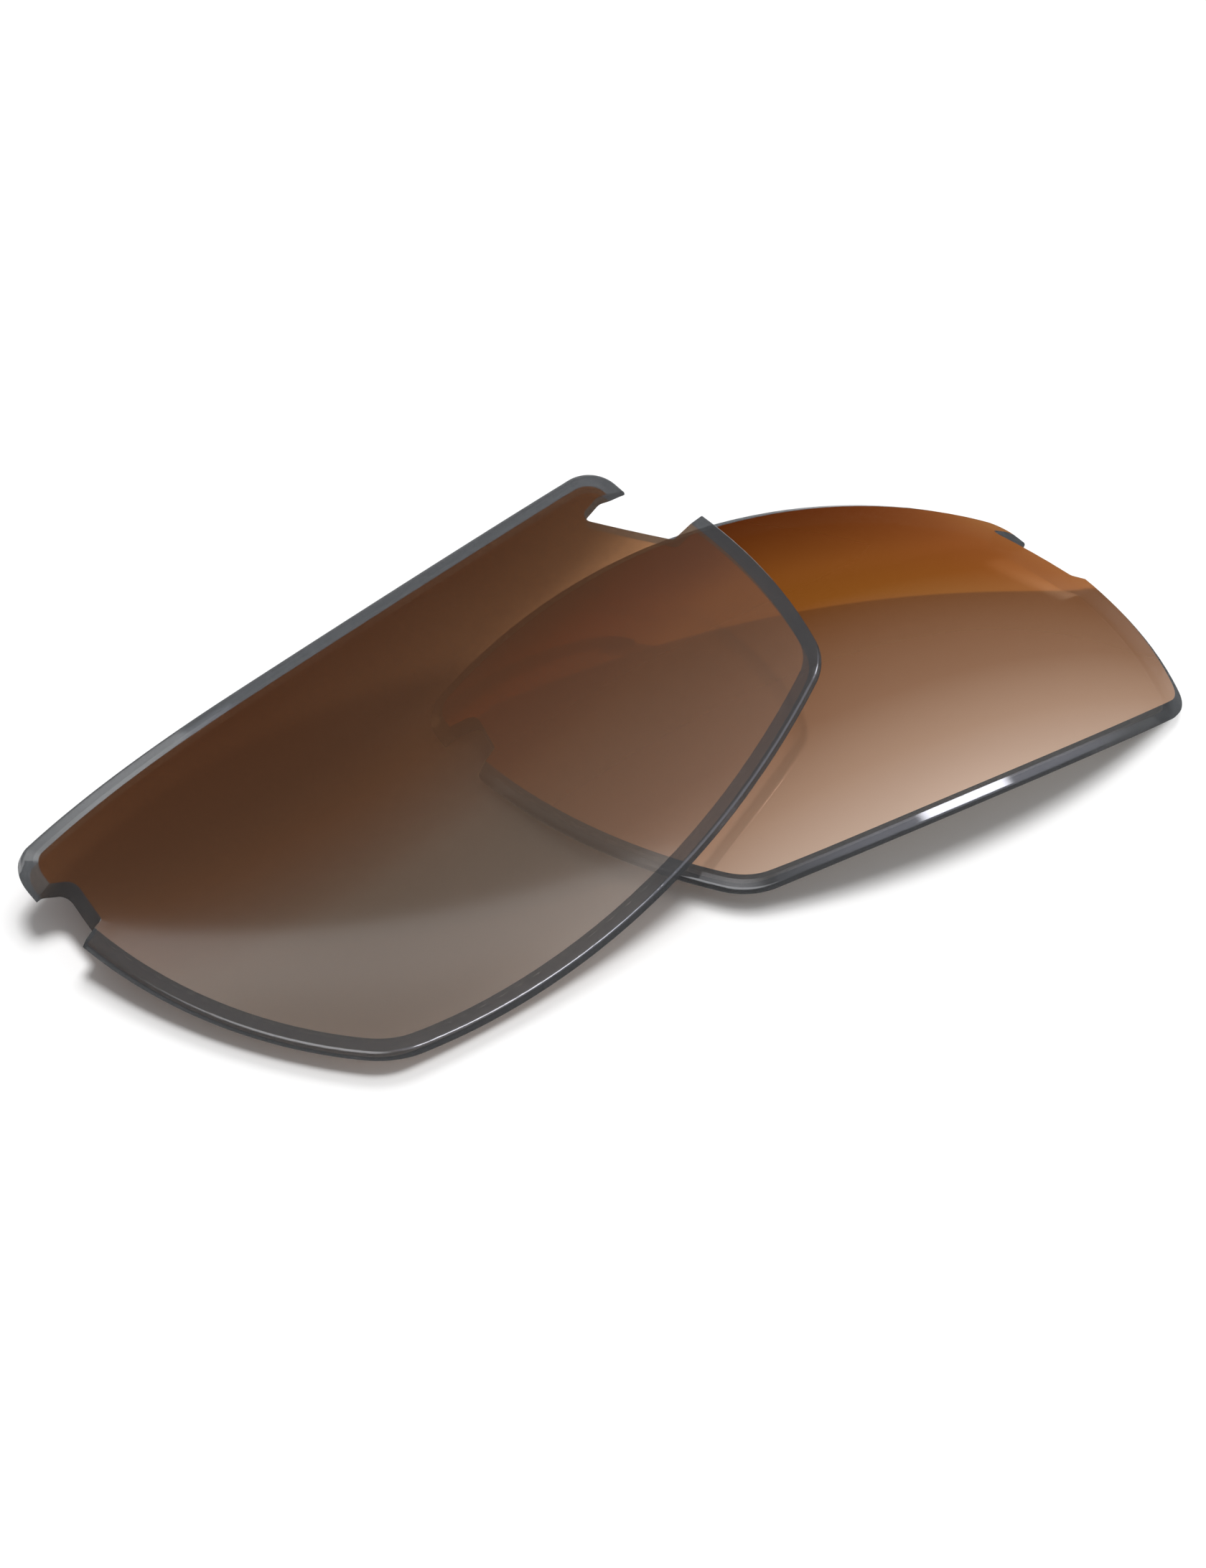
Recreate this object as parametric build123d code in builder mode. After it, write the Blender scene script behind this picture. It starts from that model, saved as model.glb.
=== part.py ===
"""A pair of replacement lenses for wrap sunglasses, lying as they are shown for sale.

The left lens rests dome up on its rim. The right lens, its mirror image, rests hollow up on its
dome and leans over the left one. Each lens is a laminate of five bonded layers, and each layer is
a node of its own. Millimetres, +Z up, and the origin is on the floor below the pair's middle.
"""
import os

from build123d import *

# Laminate, from the front face to the back face
layers = {
    "mirror_coat": 0.1,
    "front_sheet": 0.3,
    "polarising_film": 0.1,
    "moulded_body": 0.8,
    "back_coat": 0.1,
}
front_radius = 66.0
thickness = sum(layers.values())
back_radius = front_radius - thickness

# Edge: a bevel on both faces leaves a narrow nose between them, which is rounded
bevel_width = 1.05
nose_flat = 0.75
bevel_depth = (thickness - nose_flat) / 2
nose_rounding = 0.25

# Outline of the left lens on the plane that touches the middle of its front face, nose side at -X
brow_top = (-3.0, 17.85)
brow_nose_end = (-29.9, 14.2)
nose_side = (-28.2, -2.3)
nose_low = (-19.2, -16.1)
lower_middle = (5.9, -16.7)
outer_low = (30.7, -13.4)
outer_side = (34.2, -4.6)
hinge_strip = (35.25, 4.6)
hinge_tooth = (32.6, 9.2)
brow_hinge_end = (32.9, 14.0)
outline_roundings = {
    brow_nose_end: 3.5,
    nose_low: 6.0,
    outer_low: 4.5,
    hinge_strip: 2.0,
    hinge_tooth: 3.0,
    brow_hinge_end: 3.0,
}

# Notches on the same plane, as corners and the roundings of those that have one
nose_notch = [(-33.0, 9.6), (-28.9, 10.9), (-26.5, 10.3), (-27.4, 6.3), (-33.0, 4.3)]
nose_notch_roundings = {nose_notch[1]: 1.0, nose_notch[2]: 0.9, nose_notch[3]: 0.4}
hinge_notch = [(38.0, 7.0), (32.3, 10.6), (30.6, 11.5), (28.0, 11.3), (31.7, 4.0), (38.0, 3.5)]
hinge_notch_roundings = {hinge_notch[2]: 1.0, hinge_notch[3]: 0.7, hinge_notch[4]: 0.5}
notches = [(nose_notch, nose_notch_roundings), (hinge_notch, hinge_notch_roundings)]

# Every wall stands square to the faces, so it runs towards the centre of the sphere.
# These are the heights above that centre between which walls are lofted.
wall_heights = [0.8 * front_radius, 1.1 * front_radius]

# Where the centre of each lens's sphere lies, and how the lens is turned about it.
# The right lens is the left one's mirror image.
left_seat = Plane(Location((17.65, 1.69, -58.026), (2.386, -1.382, 0)))
right_seat = Plane(Location((-27.87, -4.22, front_radius), (-176.17, 8.7, 168.35)))
lenses = {"left": (left_seat, False), "right": (right_seat, True)}


def grown(point, growth):
    """An outline point on a plane that is nearer to the centre of the sphere or further from it."""
    return (growth * point[0], growth * point[1])


def lens_blank():
    """The whole left lens before it is divided into layers, with its sphere's centre at the origin."""
    with BuildPart() as blank:
        for height in wall_heights:
            k = height / front_radius
            with BuildSketch(Plane.XY.offset(height)) as section:
                with BuildLine():
                    TangentArc(grown(brow_top, k), grown(brow_nose_end, k), tangent=(-1, 0))
                    ThreePointArc(grown(brow_nose_end, k), grown(nose_side, k), grown(nose_low, k))
                    ThreePointArc(grown(nose_low, k), grown(lower_middle, k), grown(outer_low, k))
                    ThreePointArc(grown(outer_low, k), grown(outer_side, k), grown(hinge_strip, k))
                    Polyline(grown(hinge_strip, k), grown(hinge_tooth, k), grown(brow_hinge_end, k))
                    TangentArc(grown(brow_top, k), grown(brow_hinge_end, k), tangent=(1, 0))
                make_face()
                for corner, rounding in outline_roundings.items():
                    fillet(section.vertices().sort_by_distance(grown(corner, k))[0], rounding * k)
        loft(ruled=True)
        Sphere(front_radius, rotation=(90, 0, 0), mode=Mode.INTERSECT)
        Sphere(back_radius, rotation=(90, 0, 0), mode=Mode.SUBTRACT)
        for side in (0, -1):
            face = blank.faces().filter_by(GeomType.SPHERE).sort_by(Axis.Z)[side]
            chamfer(face.edges(), bevel_width, bevel_depth, reference=face)
        nose = blank.faces().filter_by(
            lambda face: abs(face.normal_at().dot(Vector(face.center()).normalized())) < 0.05
        )
        ridges = nose.edges().filter_by(lambda edge: edge.length > 1.1 * nose_flat)
        fillet(ridges, nose_rounding)
        for corners, roundings in notches:
            for height in wall_heights:
                k = height / front_radius
                with BuildSketch(Plane.XY.offset(height)) as cutter:
                    with BuildLine():
                        Polyline(*[grown(corner, k) for corner in corners], close=True)
                    make_face()
                    for corner, rounding in roundings.items():
                        fillet(cutter.vertices().sort_by_distance(grown(corner, k))[0], rounding * k)
            loft(ruled=True, mode=Mode.SUBTRACT)
    return blank.part


def lens_layers():
    """The layers of the left lens's laminate, by name, cut from the blank by concentric spheres."""
    blank = lens_blank()
    made = {}
    outer = front_radius
    for name, layer_thickness in layers.items():
        with BuildPart() as layer:
            add(blank)
            Sphere(outer, rotation=(90, 0, 0), mode=Mode.INTERSECT)
            Sphere(outer - layer_thickness, rotation=(90, 0, 0), mode=Mode.SUBTRACT)
        made[name] = layer.part
        outer -= layer_thickness
    return made


os.makedirs("parts", exist_ok=True)
for layer_name, left_layer in lens_layers().items():
    for lens_name, (seat, is_mirrored) in lenses.items():
        shape = mirror(left_layer, about=Plane.YZ) if is_mirrored else left_layer
        with BuildPart(seat) as placed:
            add(shape)
        placed.part.label = f"{lens_name}_{layer_name}"
        export_step(placed.part, f"parts/{lens_name}_{layer_name}.step")
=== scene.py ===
"""Looks of a pair of replacement lenses for wrap sunglasses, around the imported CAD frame.

Both lenses keep their CAD nodes. The faces carry a brown tint that is graded from the brow to the
lower edge, and the bevels and notch walls are polished smoke grey. Units are metres.
"""
import math

import bpy
import numpy as np
from mathutils import Matrix, Vector


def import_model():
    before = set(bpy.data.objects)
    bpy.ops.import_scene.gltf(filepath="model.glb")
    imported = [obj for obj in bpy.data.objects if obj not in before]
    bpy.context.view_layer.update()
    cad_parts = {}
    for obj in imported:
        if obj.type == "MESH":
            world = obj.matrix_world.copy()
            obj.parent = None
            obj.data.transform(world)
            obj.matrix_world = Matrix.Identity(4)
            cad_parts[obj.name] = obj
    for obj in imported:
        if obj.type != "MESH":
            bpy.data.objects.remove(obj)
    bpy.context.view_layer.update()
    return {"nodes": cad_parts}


MM = 0.001
BLACK = (0.0, 0.0, 0.0)
WHITE = (1.0, 1.0, 1.0)

# Camera: its place from the frame's origin, its aim, and the lens for a 36 mm sensor. They come from
# fitting the lenses' outlines to those in the photograph.
CAMERA_PLACE = Vector((-150.76, -155.43, 174.88)) * MM
CAMERA_FORWARD = Vector((0.53520, 0.56190, -0.63073))
CAMERA_DOWN = Vector((-0.28008, -0.58639, -0.76006))
CAMERA_LENS_MM = 89.16
SENSOR_MM = 36.0
CAMERA_NEAREST, CAMERA_FURTHEST = 0.01, 10.0

FLOOR_SIZE = 6.0
FLOOR_HEIGHT = -0.02 * MM
FLOOR_FINISH = {"Base Color": (0.92, 0.92, 0.92, 1), "Roughness": 0.9, "Specular IOR Level": 0.1}

# Soft studio light. Directions are azimuth from +Y towards +X and elevation, in degrees.
TOP_LIGHT = (35, 80)
TOP_LIGHT_SIZE = 0.36
TOP_LIGHT_WATTS = 7.2
LEFT_LIGHT = (40, 78)
LEFT_LIGHT_SIZE = 0.06
LEFT_LIGHT_WATTS = 8.6
LIGHT_DISTANCE = 0.9
SKY_STRENGTH = 0.34

# What shows in reflections: a round light behind the pair, brightest at its edge, and softer ones.
# Radii are degrees.
BACK_LIGHT = (15.7, 1.2)
BACK_LIGHT_RADIUS = 44.0
BACK_LIGHT_BLUR = 0.003  # half the width of its edge, as a cosine
BACK_LIGHT_AT_EDGE = 1.3
BACK_LIGHT_DIM_RADIUS = 22.0
BACK_LIGHT_DIM = 0.12
REFLECTED_ROOM = 0.05
SIDE_LIGHTS = [
    # direction, inner radius, outer radius, colour
    ((124, 45), 7.0, 9.5, (9.0, 9.0, 9.8)),
    ((130, 38), 12.0, 42.0, (0.80, 0.80, 0.95)),
    ((-140, 30), 10.0, 40.0, (2.4, 2.4, 2.5)),
]

LENSES = ("left", "right")
LAYERS = ("mirror_coat", "front_sheet", "polarising_film", "moulded_body", "back_coat")
LENS_THICKNESS = 1.4 * MM
DEPTH_TOLERANCE = 0.04 * MM
RIM_TOLERANCE = 0.03 * MM
SPHERE_FITS = 8
FACE_COS = 0.98  # a face of a layer looks along the sphere's radius, and a bevel is 17 degrees off it

# Tints of the faces, from the lower edge (0) to the brow (1), as linear colours. A coat has a body
# colour, which light scatters from, and a filter colour, for what is seen through it.
FRONT_BODY = [
    (0.00, (0.86, 0.62, 0.48)),
    (0.15, (0.60, 0.375, 0.255)),
    (0.30, (0.385, 0.200, 0.115)),
    (0.62, (0.20, 0.066, 0.014)),
    (1.00, (0.11, 0.024, 0.004)),
]
BACK_BODY = [
    (0.00, (0.150, 0.122, 0.105)),
    (0.35, (0.130, 0.092, 0.068)),
    (0.65, (0.125, 0.056, 0.026)),
    (1.00, (0.120, 0.040, 0.012)),
]
COAT_FILTER = [
    (0.00, (0.96, 0.92, 0.88)),
    (0.45, (0.95, 0.89, 0.82)),
    (0.64, (0.70, 0.50, 0.34)),
    (0.77, (0.30, 0.20, 0.13)),
    (1.00, (0.09, 0.05, 0.03)),
]
COAT_SHADOW = {"left": (0.12, 0.12, 0.12), "right": (0.45, 0.45, 0.45)}
REFLECTED_FILTER = (0.9, 0.9, 0.9)
COVER_REFLECTED = 0.15  # a lens hardly shows in the other one, except for its edge
COVER_FADE = (0.2, 0.75)  # where on the tint's scale a coat's cover grows to its whole
COATS = {
    "mirror_coat": {
        "depth": 0.0,
        "body": FRONT_BODY,
        "cover": (0.85, 0.06),  # share that isn't seen through, from outside and from inside
        "cover_below": 0.98,  # part of that share which is left near the lower edge
        "mirror": 0.5,
        "finish": {"Roughness": 0.03, "IOR": 1.05, "Specular Tint": (1, 0.55, 0.1, 1)},
    },
    "back_coat": {
        "depth": LENS_THICKNESS,
        "body": BACK_BODY,
        "cover": (0.45, 0.0),
        "cover_below": 0.7,
        "mirror": 0.0,
        "finish": {"Roughness": 0.12, "IOR": 2.8},
    },
}

SMOKE_BODY = (0.050, 0.052, 0.055)
SMOKE_FILTER = (0.64, 0.66, 0.68)
SMOKE_GRAIN = {"Scale": 900.0, "Detail": 2.0}
GRAIN_RANGE = (0.3, 0.7)
GRAIN_SHADES = (0.96, 1.04)
EDGE_SHADOW = (0.85, 0.85, 0.85)
EDGE_COVER = 0.68  # share of the smoke grey edge that isn't seen through
EDGE_FINISH = {"Roughness": 0.05, "IOR": 2.2}

# Two lenses of five layers lie one over the other, and each layer has two sides
CLEAR_SURFACES = 48


def direction(azimuth, elevation):
    """The unit vector of a direction given from +Y towards +X and above the horizon, in degrees."""
    a, e = math.radians(azimuth), math.radians(elevation)
    return Vector((math.sin(a) * math.cos(e), math.cos(a) * math.cos(e), math.sin(e)))


def cosine_of(degrees):
    return math.cos(math.radians(degrees))


class Nodes:
    """A material or world node tree, with short calls that add a node and link its inputs."""

    def __init__(self, tree):
        self.tree = tree
        tree.nodes.clear()

    def add(self, kind, inputs=None, **settings):
        node = self.tree.nodes.new(kind)
        for name, value in settings.items():
            setattr(node, name, value)
        for key, value in (inputs or {}).items():
            if isinstance(value, bpy.types.NodeSocket):
                self.tree.links.new(value, node.inputs[key])
            else:
                node.inputs[key].default_value = value
        return node

    def math(self, operation, *values):
        return self.add("ShaderNodeMath", dict(enumerate(values)), operation=operation).outputs[0]

    def vector(self, operation, *values):
        node = self.add("ShaderNodeVectorMath", dict(enumerate(values)), operation=operation)
        return node.outputs["Value" if operation in ("DOT_PRODUCT", "LENGTH") else "Vector"]

    def smooth(self, value, low, high, to_low=0.0, to_high=1.0):
        inputs = {0: value, 1: low, 2: high, 3: to_low, 4: to_high}
        return self.add("ShaderNodeMapRange", inputs, interpolation_type="SMOOTHSTEP").outputs[0]

    def pick(self, flag, when_off, when_on):
        """One of two numbers, by a flag that is 0 or 1."""
        return self.smooth(flag, 0.0, 1.0, when_off, when_on)

    def mix(self, factor, first, second, blend="MIX"):
        node = self.add("ShaderNodeMix", data_type="RGBA", blend_type=blend)
        for key, value in ((0, factor), (6, first), (7, second)):
            if isinstance(value, bpy.types.NodeSocket):
                self.tree.links.new(value, node.inputs[key])
            else:
                node.inputs[key].default_value = (*value, 1) if isinstance(value, tuple) else value
        return node.outputs[2]

    def ramp(self, value, stops):
        node = self.add("ShaderNodeValToRGB", {0: value})
        ramp = node.color_ramp
        while len(ramp.elements) < len(stops):
            ramp.elements.new(0.5)
        for element, (place, colour) in zip(ramp.elements, stops):
            element.position = place
            element.color = (*colour, 1)
        return node.outputs[0]


def front_points(lens):
    """The vertices of a lens's outermost layer."""
    return np.array([v.co for v in frame["nodes"][lens + "_mirror_coat"].data.vertices], float)


def outer_sphere(points):
    """Centre and radius of the outermost sphere on which some of the points lie."""
    chosen = points
    for _ in range(SPHERE_FITS):
        rows = np.hstack([2 * chosen, np.ones((len(chosen), 1))])
        centre = np.linalg.lstsq(rows, (chosen**2).sum(1), rcond=None)[0][:3]
        radii = np.linalg.norm(points - centre, axis=1)
        chosen = points[radii > radii.max() - RIM_TOLERANCE]
    return Vector(centre), radii.max()


def brow_range(points, centre):
    """The direction from the lower edge to the brow, and the range of the points along it."""
    crown = (Vector(points.mean(0)) - centre).normalized()
    spread = points - points.mean(0)
    long_axis = Vector(np.linalg.svd(spread, full_matrices=False)[2][0])
    brow = crown.cross(long_axis).normalized()
    # Both lenses lie with the brow on the +Y side
    if brow.y < 0:
        brow = -brow
    along = points @ np.array(brow)
    return brow, along.min(), along.max()


def smoke_edge(nodes, place, rays, is_edge):
    """Body colour, cover and filter of a layer's smoke grey edge."""
    grain = nodes.add("ShaderNodeTexNoise", {"Vector": place["Object"], **SMOKE_GRAIN})
    shade = nodes.smooth(grain.outputs[0], *GRAIN_RANGE, *GRAIN_SHADES)
    body = nodes.mix(1.0, SMOKE_BODY, shade, blend="MULTIPLY")
    lit = nodes.math("SUBTRACT", 1.0, rays["Is Shadow Ray"])
    cover = nodes.math("MULTIPLY", nodes.math("MULTIPLY", is_edge, EDGE_COVER), lit)
    return body, cover, nodes.mix(rays["Is Shadow Ray"], SMOKE_FILTER, EDGE_SHADOW)


def brown_coat(nodes, rays, graded, lens, coat):
    """Body colour, cover and filter of a coat, by the height on the tint's scale."""
    from_inside = nodes.add("ShaderNodeNewGeometry").outputs["Backfacing"]
    cover = nodes.pick(from_inside, *coat["cover"])
    kept_below = nodes.smooth(graded, *COVER_FADE, coat["cover_below"], 1.0)
    cover = nodes.math("MULTIPLY", cover, kept_below)
    kept_reflected = nodes.pick(rays["Is Glossy Ray"], 1.0, COVER_REFLECTED)
    cover = nodes.math("MULTIPLY", cover, kept_reflected)
    through = nodes.mix(rays["Is Shadow Ray"], nodes.ramp(graded, COAT_FILTER), COAT_SHADOW[lens])
    through = nodes.mix(rays["Is Glossy Ray"], through, REFLECTED_FILTER)
    return nodes.ramp(graded, coat["body"]), cover, through


def layer_material(lens, layer):
    """A layer: its coat on its outward face, clear where it meets a layer, smoke grey on its edge."""
    points = front_points(lens)
    centre, radius = outer_sphere(points)
    material = bpy.data.materials.new(f"{lens}_{layer}")
    material.use_nodes = True
    nodes = Nodes(material.node_tree)
    place = nodes.add("ShaderNodeTexCoord").outputs
    rays = nodes.add("ShaderNodeLightPath").outputs
    from_centre = nodes.vector("SUBTRACT", place["Object"], tuple(centre))
    radial = nodes.vector("NORMALIZE", from_centre)
    facing = nodes.math("ABSOLUTE", nodes.vector("DOT_PRODUCT", place["Normal"], radial))
    is_edge = nodes.math("LESS_THAN", facing, FACE_COS)
    body, cover, through = smoke_edge(nodes, place, rays, is_edge)
    solid = is_edge
    finish = dict(EDGE_FINISH)
    coat = COATS.get(layer)
    if coat:
        brow, low, high = brow_range(points, centre)
        height = nodes.vector("DOT_PRODUCT", place["Object"], tuple(brow))
        graded = nodes.add("ShaderNodeMapRange", {0: height, 1: low, 2: high}).outputs[0]
        depth = nodes.math("SUBTRACT", radius, nodes.vector("LENGTH", from_centre))
        outward = nodes.math("COMPARE", depth, coat["depth"], DEPTH_TOLERANCE)
        shown = nodes.math("MULTIPLY", nodes.math("SUBTRACT", 1.0, is_edge), outward)
        coat_body, coat_cover, coat_through = brown_coat(nodes, rays, graded, lens, coat)
        body = nodes.mix(shown, body, coat_body)
        cover = nodes.math("ADD", cover, nodes.math("MULTIPLY", shown, coat_cover))
        through = nodes.mix(shown, through, coat_through)
        solid = nodes.math("ADD", is_edge, shown)
        finish = dict(coat["finish"])
        if coat["mirror"]:
            finish["Metallic"] = nodes.math("MULTIPLY", shown, coat["mirror"])
    through = nodes.mix(solid, WHITE, through)
    shader = nodes.add("ShaderNodeBsdfPrincipled", {"Base Color": body, **finish})
    clear = nodes.add("ShaderNodeBsdfTransparent", {"Color": through})
    both = nodes.add("ShaderNodeMixShader", {0: cover, 1: clear.outputs[0], 2: shader.outputs[0]})
    nodes.add("ShaderNodeOutputMaterial", {"Surface": both.outputs[0]})
    return material


def lens_looks(lens):
    """Give each layer of a lens its material."""
    for layer in LAYERS:
        slots = frame["nodes"][f"{lens}_{layer}"].data.materials
        slots.clear()
        slots.append(layer_material(lens, layer))


def camera():
    """The camera at the photograph's viewing angle."""
    data = bpy.data.cameras.new("camera")
    data.lens = CAMERA_LENS_MM
    data.sensor_width = SENSOR_MM
    data.clip_start, data.clip_end = CAMERA_NEAREST, CAMERA_FURTHEST
    stand = bpy.data.objects.new("camera", data)
    bpy.context.scene.collection.objects.link(stand)
    back = -CAMERA_FORWARD.normalized()
    right = (-CAMERA_DOWN).cross(back).normalized()
    up = back.cross(right)
    turn = Matrix((right, up, back)).transposed().to_4x4()
    stand.matrix_world = Matrix.Translation(CAMERA_PLACE) @ turn
    bpy.context.scene.camera = stand


def floor():
    """A plain pale floor, just under the lenses. It doesn't show in reflections, but the lights do."""
    bpy.ops.mesh.primitive_plane_add(size=FLOOR_SIZE, location=(0, 0, FLOOR_HEIGHT))
    plane = bpy.context.object
    plane.name = "floor"
    plane.visible_glossy = False
    material = bpy.data.materials.new("floor")
    material.use_nodes = True
    nodes = Nodes(material.node_tree)
    shader = nodes.add("ShaderNodeBsdfPrincipled", FLOOR_FINISH)
    nodes.add("ShaderNodeOutputMaterial", {"Surface": shader.outputs[0]})
    plane.data.materials.append(material)


def reflected_lights(nodes, way):
    """The round light and the soft lights, by the direction in which a reflection looks."""
    cosine = nodes.vector("DOT_PRODUCT", way, tuple(direction(*BACK_LIGHT)))
    edge = cosine_of(BACK_LIGHT_RADIUS)
    in_light = nodes.smooth(cosine, edge - BACK_LIGHT_BLUR, edge + BACK_LIGHT_BLUR)
    dim = cosine_of(BACK_LIGHT_DIM_RADIUS)
    fade = nodes.smooth(cosine, edge, dim, BACK_LIGHT_AT_EDGE, BACK_LIGHT_DIM)
    strength = nodes.math("ADD", nodes.math("MULTIPLY", in_light, fade), REFLECTED_ROOM)
    shown = nodes.mix(strength, BLACK, WHITE)
    for way_to, inner, outer, colour in SIDE_LIGHTS:
        cosine = nodes.vector("DOT_PRODUCT", way, tuple(direction(*way_to)))
        glow = nodes.mix(nodes.smooth(cosine, cosine_of(outer), cosine_of(inner)), BLACK, colour)
        shown = nodes.mix(1.0, shown, glow, blend="ADD")
    return shown


def world():
    """A white background, soft light from all round, and in reflections the lights behind and beside."""
    scene = bpy.context.scene
    scene.view_settings.view_transform = "Standard"
    scene.cycles.transparent_max_bounces = CLEAR_SURFACES
    scene.world = scene.world or bpy.data.worlds.new("studio")
    scene.world.use_nodes = True
    nodes = Nodes(scene.world.node_tree)
    rays = nodes.add("ShaderNodeLightPath").outputs
    way = nodes.add("ShaderNodeTexCoord").outputs["Generated"]
    colour = nodes.mix(rays["Is Diffuse Ray"], WHITE, (SKY_STRENGTH,) * 3)
    colour = nodes.mix(rays["Is Glossy Ray"], colour, reflected_lights(nodes, way))
    shader = nodes.add("ShaderNodeBackground", {"Color": colour, "Strength": 1.0})
    nodes.add("ShaderNodeOutputWorld", {"Surface": shader.outputs[0]})


def collection_of(name, nodes, link_state):
    """A collection of CAD nodes that a light reaches or that it passes by."""
    collection = bpy.data.collections.new(name)
    for node in nodes:
        collection.objects.link(frame["nodes"][node])
    for member in collection.collection_objects:
        member.light_linking.link_state = link_state
    return collection


def top_lamp(name, way, size, watts):
    """Add a round light above the pair and a little behind it, and return its light linking."""
    data = bpy.data.lights.new(name, "AREA")
    data.shape = "DISK"
    data.size = size
    data.energy = watts
    lamp = bpy.data.objects.new(name, data)
    lamp.location = direction(*way) * LIGHT_DISTANCE
    lamp.rotation_mode = "QUATERNION"
    lamp.rotation_quaternion = direction(*way).to_track_quat("Z", "Y")
    lamp.visible_glossy = False
    bpy.context.scene.collection.objects.link(lamp)
    return lamp.light_linking


def lights():
    """A large soft light from above. The left lens has a small one instead, which the coats of the right
    lens don't hold back, so that it stays bright below the right lens and shows the shadow of its rim."""
    left_nodes = [f"left_{layer}" for layer in LAYERS]
    right_coats = ["right_mirror_coat", "right_back_coat"]
    top = top_lamp("top_light", TOP_LIGHT, TOP_LIGHT_SIZE, TOP_LIGHT_WATTS)
    top.receiver_collection = collection_of("lit_by_left_light", left_nodes, "EXCLUDE")
    left = top_lamp("left_light", LEFT_LIGHT, LEFT_LIGHT_SIZE, LEFT_LIGHT_WATTS)
    left.receiver_collection = collection_of("left_nodes", left_nodes, "INCLUDE")
    left.blocker_collection = collection_of("right_coats", right_coats, "EXCLUDE")


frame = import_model()
for lens in LENSES:
    lens_looks(lens)
camera()
floor()
world()
lights()
